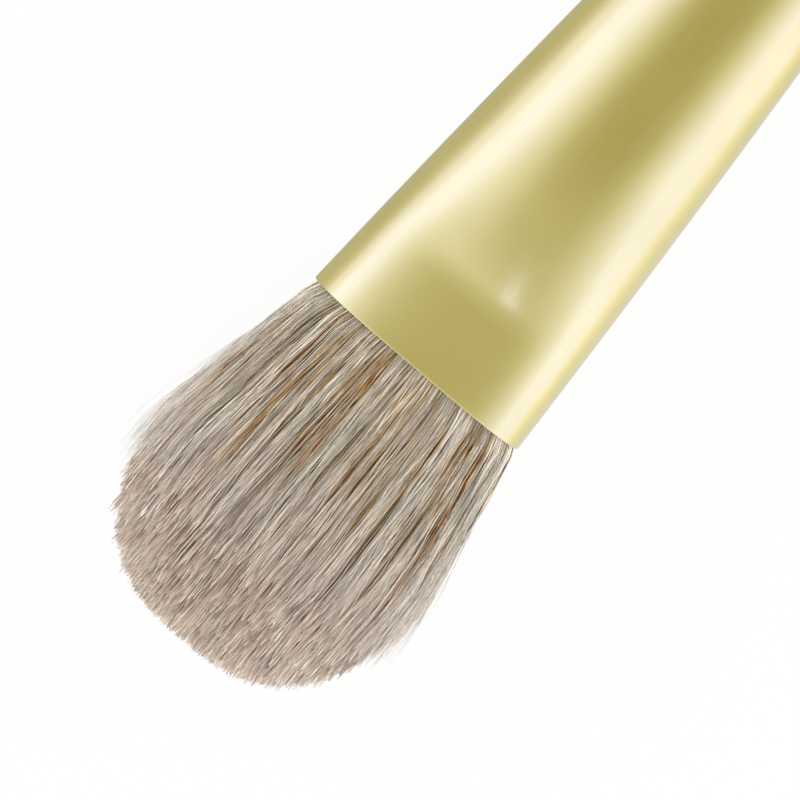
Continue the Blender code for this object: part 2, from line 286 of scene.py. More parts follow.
def new_finish(name: str) -> tuple[bpy.types.Material, NodeSheet, bpy.types.Node]:
    """Start a material with one Principled shader.

    Args:
        name: the material's name.

    Returns:
        The material, its node sheet and the shader node.
    """
    material = bpy.data.materials.new(name)
    material.use_nodes = True
    return material, NodeSheet(material.node_tree), material.node_tree.nodes["Principled BSDF"]


@dataclass(frozen=True)
class WhiteCloth:
    """Lit white cloth as a mirror shows it: a little warm where it is dim and cool where it is bright."""

    green_gain: float = 1.03
    green_power: float = 1.1
    blue_gain: float = 1.38
    blue_power: float = 2.2

    def color(self, sheet: NodeSheet, level: object) -> Socket:
        """Colour of the cloth.

        Args:
            sheet: the node sheet.
            level: how bright the cloth is, where 1 is white.

        Returns:
            The colour's socket.
        """
        green = sheet.product(sheet.math("POWER", level, self.green_power), self.green_gain)
        blue = sheet.product(sheet.math("POWER", level, self.blue_power), self.blue_gain)
        return sheet.combined(level, green, blue)


class HairTone(Enum):
    """Colours of the natural hairs, from the lightest, each with the share of the chart that has it."""

    PEARL = (0.20, srgb(250, 243, 232))
    GREY = (0.22, srgb(234, 222, 203))
    TAUPE = (0.20, srgb(206, 185, 150))
    SAND = (0.14, srgb(200, 155, 84))
    AMBER = (0.14, srgb(174, 108, 32))
    UMBER = (0.10, srgb(86, 56, 26))

    @property
    def share(self) -> float:
        """Share of the chart with this colour."""
        return self.value[0]

    @property
    def color(self) -> Color:
        """The colour in linear light."""
        return self.value[1]


@dataclass(frozen=True)
class NaturalHair:
    """Mixed natural hair, read from a chart: one column for each shade, with the hair's length upwards."""

    columns: int = 64
    column_apart: float = 311.0
    patch_count: float = 4.6
    patch_detail: float = 3.0
    patch_tone: Range = (0.36, 0.54, 0.68, 1.0)
    # Painted light: tones lighter near the root, to make up for the shade at the ferrule's mouth.
    painted_root_light: Range = (0.06, 0.22, 0.55, 1.0)
    patch_light: Range = (0.34, 0.66, 1.16, 0.57)
    tip_color: Color = srgb(251, 241, 236)
    tip_starts: float = 0.5
    tip_share: float = 0.56
    tip_grain: Sequence[float] = (1.7, 0.9, 1.0)
    tip_light: Range = (0.36, 0.64, 1.365, 0.525)
    roughness: float = 0.5
    gloss: float = 0.35

    def column_of(self, place: np.ndarray) -> np.ndarray:
        """Column of the chart for places from 0 to 1 in the range of tones."""
        return np.clip((place * self.columns).astype(int), 0, self.columns - 1)

    def tone_ramp(self, sheet: NodeSheet, place: Socket) -> Socket:
        """Colour of the hair tones, each at the middle of its share.

        Args:
            sheet: the node sheet.
            place: place from 0 to 1 in the range of tones.

        Returns:
            The colour's socket.
        """
        ramp = sheet.feed(sheet.add("ShaderNodeValToRGB"), {0: place})
        stops = ramp.color_ramp.elements
        stops.remove(stops[-1])
        start = 0.0
        for number, tone in enumerate(HairTone):
            middle = start + tone.share / 2
            stop = stops[0] if number == 0 else stops.new(middle)
            stop.position = middle
            stop.color = (*tone.color, 1.0)
            start += tone.share
        return ramp.outputs[0]

    def material(self) -> bpy.types.Material:
        """Make the material, mottled in patches along each hair, lighter near the root as painted light, and
        creamy at the tip.

        Returns:
            The material.
        """
        material, sheet, shader = new_finish("natural_hair")
        across, along, _ = sheet.parts(sheet.add("ShaderNodeUVMap", uv_map=CHART).outputs[0])
        column = sheet.math("DIVIDE", sheet.math("FLOOR", sheet.product(across, self.columns)), self.columns)
        place = sheet.combined(sheet.product(column, self.column_apart),
                               sheet.product(along, self.patch_count), 0.0)
        patches = sheet.noise(place, 1.0, self.patch_detail)
        toned = sheet.product(column, sheet.span(patches, *self.patch_tone))
        # Painted light: lighter tones near the root, where the mouth shades the hair.
        toned = sheet.product(toned, sheet.span(along, *self.painted_root_light))
        tip = sheet.span(along, self.tip_starts, 1.0, 0.0, self.tip_share)
        color = sheet.blend(tip, self.tone_ramp(sheet, toned), self.tip_color)
        tip_light = sheet.span(sheet.stretched_noise(place, self.tip_grain), *self.tip_light)
        toward_tip = sheet.span(along, self.tip_starts, 1.0)
        light = sheet.blend(toward_tip, sheet.span(patches, *self.patch_light), tip_light)
        sheet.join(sheet.scaled(color, light), shader.inputs["Base Color"])
        shader.inputs["Roughness"].default_value = self.roughness
        shader.inputs["Specular IOR Level"].default_value = self.gloss
        return material


@dataclass(frozen=True)
class SatinGold:
    """Aluminium with a satin pale-gold anodised skin."""

    color: Color = (0.85, 0.745, 0.33)
    cloud_scale: Sequence[float] = (160.0, 160.0, 160.0)
    cloud: Range = (0.3, 0.7, 0.975, 1.02)
    drawn_scale: Sequence[float] = (260.0, 3200.0, 3200.0)
    drawn_detail: float = 3.0
    drawn_depth: float = 0.06e-6
    roughness: Range = (0.25, 0.75, 0.18, 0.24)
    coat: float = 0.8
    coat_roughness: float = 0.15

    def material(self) -> bpy.types.Material:
        """Make the material, with a faint drawn grain along the ferrule.

        Returns:
            The material.
        """
        material, sheet, shader = new_finish("satin_gold")
        place = sheet.own_place()
        drawn = sheet.stretched_noise(place, self.drawn_scale, self.drawn_detail)
        tint = sheet.span(sheet.stretched_noise(place, self.cloud_scale), *self.cloud)
        sheet.join(sheet.scaled(self.color, tint), shader.inputs["Base Color"])
        sheet.join(sheet.span(drawn, *self.roughness), shader.inputs["Roughness"])
        sheet.join(sheet.bump(drawn, self.drawn_depth), shader.inputs["Normal"])
        shader.inputs["Metallic"].default_value = 1.0
        shader.inputs["Coat Weight"].default_value = self.coat
        shader.inputs["Coat Roughness"].default_value = self.coat_roughness
        return material


@dataclass(frozen=True)
class BlackLacquer:
    """Gloss black lacquer over turned wood."""

    color: Color = (0.012, 0.011, 0.011)
    dust_color: Color = (0.03, 0.028, 0.026)
    dust_scale: float = 5200.0
    dust: Range = (0.55, 0.8, 0.0, 0.6)
    dip_scale: Sequence[float] = (120.0, 300.0, 300.0)
    dip_depth: float = 12e-6
    dip_strength: float = 0.6
    roughness: Range = (0.3, 0.7, 0.09, 0.18)
    sheen_tint: Color = (1.0, 0.92, 0.68)

    def material(self) -> bpy.types.Material:
        """Make the material: a deep gloss with the slight unevenness of a dipped coat.

        Returns:
            The material.
        """
        material, sheet, shader = new_finish("black_lacquer")
        place = sheet.own_place()
        dip = sheet.stretched_noise(place, self.dip_scale)
        dust = sheet.span(sheet.noise(place, self.dust_scale), *self.dust)
        sheet.join(sheet.blend(dust, self.color, self.dust_color), shader.inputs["Base Color"])
        sheet.join(sheet.span(dip, *self.roughness), shader.inputs["Roughness"])
        sheet.join(sheet.bump(dip, self.dip_depth, self.dip_strength), shader.inputs["Normal"])
        shader.inputs["Specular Tint"].default_value = (*self.sheen_tint, 1.0)
        return material


@dataclass(frozen=True)
class HiddenStuff:
    """A plain matter inside the ferrule, mottled by noise: thread, resin or cement."""

    name: str
    color: Color
    roughness: float
    scale: Sequence[float]
    depth: float
    detail: float = 4.0
    shade: float = 0.6
    mottle: tuple[float, float] = (0.3, 0.7)

    def material(self) -> bpy.types.Material:
        """Make the material.

        Returns:
            The material.
        """
        material, sheet, shader = new_finish(self.name)
        pattern = sheet.stretched_noise(sheet.own_place(), self.scale, self.detail)
        darker = tuple(self.shade * value for value in self.color)
        mottled = sheet.blend(sheet.span(pattern, *self.mottle), darker, self.color)
        sheet.join(mottled, shader.inputs["Base Color"])
        sheet.join(sheet.bump(pattern, self.depth), shader.inputs["Normal"])
        shader.inputs["Roughness"].default_value = self.roughness
        return material


@dataclass(frozen=True)
class PaleFloor:
    """Matt pale surface, which the camera sees nearly as white as paper.

    Metal and lacquer mirror it as a painted reflection of lit cloth: a painted shadow dims it under the
    brush, and painted light brightens it further out, soonest on the brush's right. Behind the ferrule and
    close to its right side, the painted reflection takes a plain warm tint.
    """

    # Painted shade: the left half is a little darker than the right, to dim what metal mirrors on its left.
    left_painted_shade_tone: float = 0.9
    right_tone: float = 0.95
    sides_meet: float = 0.012
    grain_scale: float = 900.0
    grain: Range = (0.0, 1.0, 0.985, 1.0)
    roughness: float = 0.9
    gloss: float = 0.1
    seen_white: float = 0.95
    mirrored: float = 0.85
    # Painted shadow and painted light: what metal mirrors of the floor is dim close to the brush and brighter
    # further out, more so on the right.
    left_painted_shadow: Range = (0.009, 0.080, 0.46, 1.02)
    right_painted_shadow: Range = (0.009, 0.035, 0.72, 1.18)
    # Painted reflection: a warm tint behind the ferrule and close to its right side.
    painted_warm_tint: Color = (1.0, 0.97, 0.82)
    painted_warm_rear: Range = (-0.004, 0.012, 0.0, 1.0)
    painted_warm_close: Range = (0.018, 0.050, 1.0, 0.0)

    def cloth(self, sheet: NodeSheet, along: Socket, across: Socket, right_side: Socket) -> Socket:
        """Painted reflection that metal and lacquer mirror, with a painted shadow close to the brush.

        Args:
            sheet: the node sheet.
            along: place along the brush.
            across: place across it.
            right_side: 1 on the brush's right, 0 on its left.

        Returns:
            The colour's socket.
        """
        away = sheet.math("ABSOLUTE", across)
        left = sheet.product(sheet.span(away, *self.left_painted_shadow), sheet.math("SUBTRACT", 1.0, right_side))
        right = sheet.product(sheet.span(away, *self.right_painted_shadow), right_side)
        # Painted shadow close to the brush, painted light further out.
        level = sheet.math("ADD", left, right)
        # Painted warm reflection behind the ferrule and close to its right side.
        close = sheet.product(right_side, sheet.span(away, *self.painted_warm_close))
        warm = sheet.math("MAXIMUM", sheet.span(along, *self.painted_warm_rear), close)
        return sheet.blend(warm, WhiteCloth().color(sheet, level), sheet.scaled(self.painted_warm_tint, level))

    def material(self) -> bpy.types.Material:
        """Make the material.

        Returns:
            The material.
        """
        material, sheet, shader = new_finish("pale_floor")
        shader.inputs["Roughness"].default_value = self.roughness
        shader.inputs["Specular IOR Level"].default_value = self.gloss
        place = sheet.own_place()
        along, across, _ = sheet.parts(place)
        right_side = sheet.span(across, self.sides_meet, -self.sides_meet)
        grain = sheet.span(sheet.noise(place, self.grain_scale), *self.grain)
        # The floor's left half is darker as painted shade.
        tone = sheet.product(grain, sheet.span(right_side, 0.0, 1.0, self.left_painted_shade_tone, self.right_tone))
        sheet.join(sheet.combined(tone, tone, tone), shader.inputs["Base Color"])
        ray = sheet.add("ShaderNodeLightPath").outputs
        cloth = self.cloth(sheet, along, across, right_side)
        shown = sheet.blend(ray["Is Camera Ray"], cloth, (1.0, 1.0, 1.0))
        white = sheet.feed(sheet.add("ShaderNodeEmission"), {"Color": shown, "Strength": 1.0})
        mirrored = sheet.math("MAXIMUM", ray["Is Glossy Ray"], ray["Is Transmission Ray"])
        share = sheet.math("MAXIMUM", sheet.product(ray["Is Camera Ray"], self.seen_white),
                           sheet.product(mirrored, self.mirrored))
        mix = sheet.add("ShaderNodeMixShader")
        sheet.feed(mix, {0: share, 1: shader.outputs[0], 2: white.outputs[0]})
        sheet.join(mix.outputs[0], material.node_tree.nodes["Material Output"].inputs["Surface"])
        return material


@dataclass
class MeshDraft:
    """Vertices, faces and map of a mesh under work, kept as arrays."""

    points: list[np.ndarray] = field(default_factory=list)
    faces: list[np.ndarray] = field(default_factory=list)
    chart: list[np.ndarray] = field(default_factory=list)
    count: int = 0

    def add(self, points: np.ndarray, faces: Sequence[np.ndarray], chart: Sequence[np.ndarray] = ()) -> None:
        """Add a batch.

        Args:
            points: the new vertices, one row each.
            faces: arrays of faces, each with its own number of corners, that count from this batch.
            chart: for each array of faces, the map's places of its corners.
        """
        self.points.append(points)
        self.faces += [face + self.count for face in faces]
        self.chart += list(chart)
        self.count += len(points)

    def build(self, name: str, material: bpy.types.Material,
              smooth_angle: float = math.pi) -> bpy.types.Object:
        """Make the object.

        Args:
            name: the piece's name.
            material: its material.
            smooth_angle: faces that meet at more than this stay sharp.

        Returns:
            The new object, linked to the scene.
        """
        mesh = bpy.data.meshes.new(name)
        points = np.concatenate(self.points)
        mesh.vertices.add(len(points))
        mesh.vertices.foreach_set("co", points.astype(np.float32).ravel())
        corners = np.concatenate([face.ravel() for face in self.faces])
        totals = np.concatenate([np.full(len(face), face.shape[1]) for face in self.faces])
        mesh.loops.add(len(corners))
        mesh.loops.foreach_set("vertex_index", corners.astype(np.int32))
        mesh.polygons.add(len(totals))
        mesh.polygons.foreach_set("loop_start", (np.cumsum(totals) - totals).astype(np.int32))
        mesh.update(calc_edges=True)
        if self.chart:
            layer = mesh.uv_layers.new(name=CHART)
            places = np.concatenate([part.reshape(-1, 2) for part in self.chart])
            layer.uv.foreach_set("vector", places.astype(np.float32).ravel())
        mesh.shade_smooth()
        if smooth_angle < math.pi:
            mesh.set_sharp_from_angle(angle=smooth_angle)
        mesh.materials.append(material)
        mesh.validate()
        return new_object(name, mesh)


@dataclass(frozen=True)
class BrushAxis:
    """Place of the brush's axis in the frame: the mouth's centre, with the handle towards +X."""

    mouth: float
    height: float

    @classmethod
    def from_frame(cls) -> "BrushAxis":
        """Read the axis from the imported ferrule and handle.

        Returns:
            The axis.
        """
        ferrule_low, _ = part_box("ferrule")
        handle_low, handle_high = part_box("handle")
        return cls(mouth=ferrule_low[0], height=(handle_low[2] + handle_high[2]) / 2)

    def mouth_centre(self) -> Vector:
        """Centre of the ferrule's mouth."""
        return Vector((self.mouth, 0.0, self.height))

    def place(self, local: np.ndarray) -> np.ndarray:
        """Move points from the brush's own frame, with its origin in the mouth, to the shared frame."""
        return local + np.array([self.mouth, 0.0, self.height])


@dataclass(frozen=True)
class FerruleForm:
    """Form of the ferrule: a long taper from the mouth, pinched on both flat sides."""

    length: float = 45.0 * MM
    wall: float = 0.45 * MM
    mouth_width: float = 18.76 * MM
    mouth_thickness: float = 14.0 * MM
    rear_diameter: float = 12.6 * MM
    bow: float = 0.2 * MM
    pinch_length: float = 6.8 * MM
    pinch_crown_radius: float = 26.0 * MM
    corner_power: float = 10.0
    flank_length: float = 14.5 * MM
    shoulder: float = 17.0 * MM
    crease_softness: float = 1.0 * MM
    crease_power: float = 2.0
    crimp_count: int = 2
    crimp_setback: float = 3.2 * MM
    crimp_pitch: float = 2.4 * MM
    crimp_width: float = 1.5 * MM
    crimp_depth: float = 0.45 * MM
    crimps_reach: float = 2.2

    def taper(self, d: np.ndarray | float) -> np.ndarray | float:
        """Outer radius of the round form.

        Args:
            d: distance from the mouth.

        Returns:
            The radius.
        """
        share = d / self.length
        straight = self.mouth_width + (self.rear_diameter - self.mouth_width) * share
        return straight / 2 + self.bow * 4 * share * (1 - share)

    def pinch_left(self, d: np.ndarray) -> np.ndarray:
        """Share of the pinch that is left: all of it up to the crease, then less.

        Args:
            d: distances from the mouth.

        Returns:
            Shares from 0 to 1.
        """
        past = d - self.pinch_length
        overlap = np.maximum(self.crease_softness - np.abs(past), 0.0)
        past = np.maximum(past, 0.0) + overlap * overlap / (4 * self.crease_softness)
        return (1.0 - np.clip(past / self.flank_length, 0.0, 1.0)) ** self.crease_power

    def radius(self, d: np.ndarray, angle: np.ndarray, inset: float) -> np.ndarray:
        """Radius of the pinched section in one direction.

        Args:
            d: distance from the mouth.
            angle: direction round the axis.
            inset: how far the section is drawn in.

        Returns:
            The radius of the round form, less what is left of the pinch.
        """
        round_radius = self.taper(d) - inset
        height = self.mouth_thickness / 2 - inset
        rise = np.abs(np.sin(angle))
        crown = 2 * height * np.cos(angle) ** 2 / self.pinch_crown_radius
        side = 2 * height / (rise + np.sqrt(rise * rise + crown))
        flat = round_radius * (1.0 + (round_radius / side) ** self.corner_power) ** (-1.0 / self.corner_power)
        return round_radius - self.pinch_left(d) * (round_radius - flat)

    def crimps_start(self) -> float:
        """Distance from the mouth just before the crimps."""
        return self.length - self.crimp_setback * self.crimps_reach

    def pressed(self, d: np.ndarray) -> np.ndarray:
        """Depth of the crimps.

        Args:
            d: distances from the mouth.

        Returns:
            Depths, which are 0 between the crimps.
        """
        depth = np.zeros_like(d)
        for number in range(self.crimp_count):
            centre = self.length - self.crimp_setback - self.crimp_pitch * number
            offset = np.clip(np.abs(d - centre) / (self.crimp_width / 2), 0.0, 1.0)
            depth = depth + self.crimp_depth * (1.0 + np.cos(np.pi * offset)) / 2
        return depth


@dataclass
class Ferrule:
    """The gold ferrule: one thin wall, finely lofted, with a rounded cut edge at each end."""

    axis: BrushAxis
    form: FerruleForm
    finish: SatinGold = SatinGold()
    facets: int = 256
    pinch_reach: float = 1.5
    pinch_rings: int = 90
    body_rings: int = 46
    crimp_rings: int = 44
    rim_steps: int = 3
    rim_rounding: float = 0.07 * MM

    def stations(self) -> np.ndarray:
        """Choose where the wall has a ring, close together where it bends.

        Returns:
            Distances from the mouth.
        """
        pinch_end = self.form.pinch_length * self.pinch_reach
        crimps_start = self.form.crimps_start()
        pinch = np.linspace(self.rim_rounding, pinch_end, self.pinch_rings)
        body = np.linspace(pinch_end, crimps_start, self.body_rings)
        crimps = np.linspace(crimps_start, self.form.length - self.rim_rounding, self.crimp_rings)
        return np.concatenate([pinch, body[1:], crimps[1:]])

    def wall_profile(self) -> list[tuple[float, float]]:
        """Go once round the wall: outside, rear edge, inside and mouth edge.

        Returns:
            Distance from the mouth and inset of each ring.
        """
        wall, edge = self.form.wall, self.rim_rounding
        along = self.stations()
        turns = np.linspace(0.0, math.pi / 2, self.rim_steps + 1)[1:]
        near = [(edge * (1 - math.sin(turn)), edge * (1 - math.cos(turn))) for turn in turns]
        outside = [(d, 0.0) for d in along]
        inside = [(d, wall) for d in along[::-2]]
        if inside[-1][0] > along[0]:
            inside.append((along[0], wall))
        cut = near + [(d, wall - inset) for d, inset in near[::-1]]
        rear = [(self.form.length - d, inset) for d, inset in cut]
        return outside + rear + inside + cut[::-1]

    def build(self) -> bpy.types.Object:
        """Loft the wall and dress it.

        Returns:
            The ferrule's piece.
        """
        profile = self.wall_profile()
        d = np.array([place for place, _ in profile])[:, None]
        inset = np.array([depth for _, depth in profile])[:, None]
        radius = self.form.radius(d, ring_angles(self.facets), inset) - self.form.pressed(d)
        points = ring_points(d, radius, self.facets)
        rings = len(profile)
        index = np.arange(rings * self.facets).reshape(rings, self.facets)
        after = np.roll(index, -1, axis=1)
        faces = np.stack([index, after, np.roll(after, -1, axis=0), np.roll(index, -1, axis=0)], axis=-1)
        draft = MeshDraft()
        draft.add(self.axis.place(points.reshape(-1, 3)), [faces.reshape(-1, 4)])
        piece = draft.build("ferrule_satin", self.finish.material())
        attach(piece, "root")
        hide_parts("ferrule")
        return piece


@dataclass
class Handle:
    """The turned handle, with its tenon inside the ferrule."""

    axis: BrushAxis
    form: FerruleForm
    finish: BlackLacquer = BlackLacquer()
    length: float = 99.0 * MM
    gap: float = 0.3 * MM
    swell_diameter: float = 14.6 * MM
    swell_share: float = 0.30
    tail_diameter: float = 8.4 * MM
    nose_length: float = 6.0 * MM
    butt_diameter: float = 3.2 * MM
    shoulder_rounding: float = 0.35 * MM
    tenon_length: float = 13.0 * MM
    tenon_diameter: float = 11.1 * MM
    tenon_chamfer: float = 0.8 * MM
    facets: int = 160
    bite_steps: int = 40
    shoulder_steps: int = 7
    swell_steps: int = 25
    tail_steps: int = 41
    nose_steps: int = 19
    sharp_angle: float = math.radians(40.0)

    def tenon(self) -> list[tuple[float, float]]:
        """Draw the tenon, which is drawn in where the crimps bite.

        Returns:
            Distance from the mouth and radius at each point of its profile.
        """
        front = self.form.length - self.tenon_length
        radius = self.tenon_diameter / 2
        profile = [(front, 0.0), (front, radius - self.tenon_chamfer), (front + self.tenon_chamfer, radius)]
        for d in np.linspace(self.form.crimps_start(), self.form.length - self.form.wall, self.bite_steps):
            bore = self.form.taper(d) - self.form.wall - float(self.form.pressed(np.array([d]))[0])
            profile.append((float(d), min(radius, bore - self.gap)))
        return profile + [(self.form.length + self.gap, radius)]

    def body(self) -> list[tuple[float, float]]:
        """Draw the visible handle from the shoulder to the flat of the butt.

        Returns:
            Distance from the mouth and radius at each point of its profile.
        """
        start = self.form.length + self.gap
        end = self.form.length + self.length
        swell_at = start + (end - start) * self.swell_share
        nose_at = end - self.nose_length
        joint = self.form.rear_diameter / 2
        swell, tail, flat = self.swell_diameter / 2, self.tail_diameter / 2, self.butt_diameter / 2
        rounding = self.shoulder_rounding
        profile = []
        for turn in np.linspace(0.0, math.pi / 2, self.shoulder_steps):
            profile.append((start + rounding * (1 - math.cos(turn)), joint - rounding * (1 - math.sin(turn))))
        for share in np.linspace(0.0, 1.0, self.swell_steps)[1:]:
            ease = (1 - math.cos(math.pi * share)) / 2
            run = swell_at - start - rounding
            profile.append((start + rounding + run * share, joint + (swell - joint) * ease))
        for share in np.linspace(0.0, 1.0, self.tail_steps)[1:]:
            ease = (1 - math.cos(math.pi * share)) / 2
            profile.append((swell_at + (nose_at - swell_at) * share, swell + (tail - swell) * ease))
        for turn in np.linspace(0.0, math.pi / 2, self.nose_steps)[1:]:
            reach = self.nose_length * math.sin(turn)
            profile.append((nose_at + reach, flat + (tail - flat) * math.cos(turn)))
        return profile + [(end, 0.0)]

    def build(self) -> bpy.types.Object:
        """Turn the profile about the axis and dress it.

        Returns:
            The handle's piece.
        """
        profile = self.tenon() + self.body()
        inner = profile[1:-1]
        d = np.array([place for place, _ in inner])[:, None]
        radius = np.array([reach for _, reach in inner])[:, None]
        rings = ring_points(d, radius, self.facets).reshape(-1, 3)
        ends = np.array([[profile[0][0], 0.0, 0.0], [profile[-1][0], 0.0, 0.0]])
        index = np.arange(len(inner) * self.facets).reshape(len(inner), self.facets)
        after = np.roll(index, -1, axis=1)
        walls = np.stack([index[:-1], after[:-1], after[1:], index[1:]], axis=-1).reshape(-1, 4)
        front = np.stack([np.full(self.facets, len(rings)), after[0], index[0]], axis=-1)
        rear = np.stack([np.full(self.facets, len(rings) + 1), index[-1], after[-1]], axis=-1)
        draft = MeshDraft()
        draft.add(self.axis.place(np.concatenate([rings, ends])), [walls, front, rear])
        piece = draft.build("handle_lacquered", self.finish.material(), self.sharp_angle)
        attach(piece, "root")
        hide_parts("handle")
        return piece


@dataclass(frozen=True)
class HairCoat:
    """One kind of hair: how finely it is drawn, its radius, its extra length and how far its tip lifts."""

    name: str
    steps: int
    radius: float
    longer: float
    lift: float


@dataclass(frozen=True)
class Waves:
    """Sideways waves of a hair or a clump: the size and the length of each, and how much both vary."""

    parts: Sequence[tuple[float, float]]
    size_spread: float = 0.75
    length_spread: tuple[float, float] = (0.75, 1.3)

    def offsets(self, s: np.ndarray, rows: int, dice: Dice) -> np.ndarray:
        """Sum of the waves, each with its own phase.

        Args:
            s: heights, one row for each hair or clump.
            rows: how many hairs or clumps.
            dice: the seeded source of chance.

        Returns:
            Offsets across and up: coordinate, row, step.
        """
        offset = np.zeros((2, rows, s.shape[-1]))
        for size, length in self.parts:
            phase = dice.uniform(0.0, FULL_TURN, (2, rows, 1))
            reach = size * dice.normal(0.0, self.size_spread, (2, rows, 1))
            pitch = length * dice.uniform(*self.length_spread, (2, rows, 1))
            offset = offset + reach * np.sin(phase + FULL_TURN * s[None] / pitch)
        return offset


@dataclass(frozen=True)
class Clumping:
    """How the hairs gather in clumps, and the bends and the splay that the hairs of a clump share."""

    count: int = 1400
    rounds: int = 3
    pull: float = 0.5
    most_pull: float = 0.8
    strength: tuple[float, float] = (0.35, 1.25)
    swing: float = 0.4
    swing_pitch: tuple[float, float] = (6.0 * MM, 12.0 * MM)
    held_from: float = 2.5 * MM
    tip_gain: float = 0.3
    tip_from: float = 0.5
    tip_over: float = 0.4
    waves: Waves = Waves(((0.09 * MM, 13.0 * MM), (0.045 * MM, 6.0 * MM)))
    wave_steps: int = 57
    splay: float = 0.65 * MM

    def gather(self, places: np.ndarray, dice: Dice) -> tuple[np.ndarray, np.ndarray]:
        """Gather places in clumps round leading places, which move towards the clumps' middles each round.

        Args:
            places: the hairs' places, one row each.
            dice: the seeded source of chance.

        Returns:
            Each hair's clump, and the leading places.
        """
        leaders = places[dice.choice(len(places), self.count, replace=False)]
        for _ in range(self.rounds):
            gaps = ((places[:, None, 0] - leaders[None, :, 0]) ** 2
                    + (places[:, None, 1] - leaders[None, :, 1]) ** 2)
            clump = gaps.argmin(axis=1)
            total = np.maximum(np.bincount(clump, minlength=self.count), 1)
            means = [np.bincount(clump, places[:, k], self.count) / total for k in (0, 1)]
            leaders = 0.5 * leaders + 0.5 * np.stack(means, axis=-1)
        return clump, leaders

    def pulls(self, s: np.ndarray, clump: np.ndarray, length: float, dice: Dice) -> np.ndarray:
        """How far each point of a hair is drawn to its clump's middle.

        Args:
            s: heights: hair, step.
            clump: each hair's clump.
            length: the tuft's length.
            dice: the seeded source of chance.

        Returns:
            Shares of the way: hair, step.
        """
        phase = dice.uniform(0.0, FULL_TURN, (self.count, 1))
        pitch = dice.uniform(*self.swing_pitch, (self.count, 1))
        strength = dice.uniform(*self.strength, (self.count, 1))
        swing = 1.0 - self.swing + self.swing * np.sin(phase[clump] + FULL_TURN * s / pitch[clump])
        toward_tip = smooth_step((s / length - self.tip_from) / self.tip_over)
        held = smooth_step(s / self.held_from) * (1.0 + self.tip_gain * toward_tip)
        return np.clip(self.pull * strength[clump] * swing * held, 0.0, self.most_pull)

    def bends(self, s: np.ndarray, clump: np.ndarray, low: float, high: float,
              dice: Dice) -> np.ndarray:
        """Bends that the hairs of a clump share.

        Args:
            s: heights: hair, step.
            clump: each hair's clump.
            low: lowest height of a hair.
            high: greatest height of a hair.
            dice: the seeded source of chance.

        Returns:
            Offsets across and up: coordinate, hair, step.
        """
        grid = np.linspace(low, high, self.wave_steps)
        rows = self.waves.offsets(np.broadcast_to(grid, (self.count, len(grid))), self.count, dice)
        place = (s - grid[0]) / (grid[1] - grid[0])
        step = np.clip(place.astype(int), 0, len(grid) - 2)
        part = place - step
        return rows[:, clump[:, None], step] * (1.0 - part) + rows[:, clump[:, None], step + 1] * part


@dataclass
class Planting:
    """Hairs as they stand in the mouth.

    Places across and up are shares of the mouth's half-sizes. Each clump has a leading place.
    """

    u: np.ndarray
    v: np.ndarray
    clump: np.ndarray
    leaders: np.ndarray

    def only(self, chosen: np.ndarray) -> "Planting":
        """The chosen hairs alone, with all the leaders."""
        return Planting(self.u[chosen], self.v[chosen], self.clump[chosen], self.leaders)


@dataclass(frozen=True)
class Zone:
    """A band of places: a centre, the reach within which a thing holds fully, and the fade past it."""

    centre: float
    reach: float
    fade: float

    def share(self, place: np.ndarray) -> np.ndarray:
        """1 within the reach, easing to 0 over the fade."""
        return 1.0 - smooth_step((np.abs(place - self.centre) - self.reach) / self.fade)


@dataclass(frozen=True)
class ToneMix:
    """How the tones are mixed; a higher power gives lighter hairs."""

    # The middle of the face takes darker tones and the sides lighter ones: partly a real darker mix in the
    # middle, partly painted light on the sides.
    middle: Zone = Zone(0.06, 0.15, 0.65)
    outer_power: float = 3.3
    outer_middle: float = 2.75
    # Hairs just under the outer layer take darker, amber tones: partly a real mix of hair, partly painted
    # shade in the gaps between the outer hairs.
    under_from: float = 0.055
    under_power: float = 0.8
    under_middle: float = 0.45
    deep_power: float = 0.3
    deep_from: float = 0.1
    deep_over: float = 0.25
    clump_spread: float = 0.19
    # Painted shade: hairs far from their clump's middle take darker tones, to darken the gaps between clumps.
    border: float = 0.12
    streaks: Zone = Zone(0.02, 0.3, 0.8)
    streak_least: float = 0.1
    streak_more: float = 0.58
    streak_tone: tuple[float, float] = (0.62, 0.88)
    streak_spread: float = 0.09
    streak_darkest: float = 0.93
    darkest: float = 0.999

    def choose(self, hairs: Planting, depth: np.ndarray, dice: Dice) -> np.ndarray:
        """Choose each hair's tone: light outside; darker and amber below, partly as painted shade in the
        gaps; darker in the middle, so the sides show painted light; darker away from a clump's middle as
        painted shade; and amber in streaks.

        Args:
            hairs: the hairs.
            depth: their places between the axis, at 0, and the border, at 1.
            dice: the seeded source of chance.

        Returns:
            Places from 0 to 1 in the range of tones.
        """
        clumps, count = len(hairs.leaders), len(hairs.u)
        below = 1.0 - depth
        # Partly painted light: hairs at the sides are lighter than those in the middle.
        middle = self.middle.share(hairs.u)
        outer_power = self.outer_power - self.outer_middle * middle
        deep = smooth_step((below - self.deep_from) / self.deep_over)
        under_power = self.under_power + self.deep_power * deep - self.under_middle * middle
        # Partly painted shade: hairs just under the outer layer are darker and more amber.
        power = outer_power + (under_power - outer_power) * smooth_step(below / self.under_from)
        leader = hairs.leaders[hairs.clump]
        away = np.hypot(hairs.u - leader[:, 0], hairs.v - leader[:, 1])
        chance = self.streak_least + self.streak_more * self.streaks.share(hairs.leaders[:, 0])
        streaked = dice.random(clumps) < chance
        lean = dice.normal(0.0, self.clump_spread, clumps)
        # The border term darkens hairs far from their clump's middle: painted shade between clumps.
        mixed = dice.random(count) ** power + lean[hairs.clump] + self.border * (away / away.mean() - 1.0)
        streak = dice.uniform(*self.streak_tone, clumps)[hairs.clump]
        streak = streak + dice.normal(0.0, self.streak_spread, count)
        tone = np.where(streaked[hairs.clump], np.minimum(streak, self.streak_darkest), mixed)
        return np.clip(tone, 0.0, self.darkest)


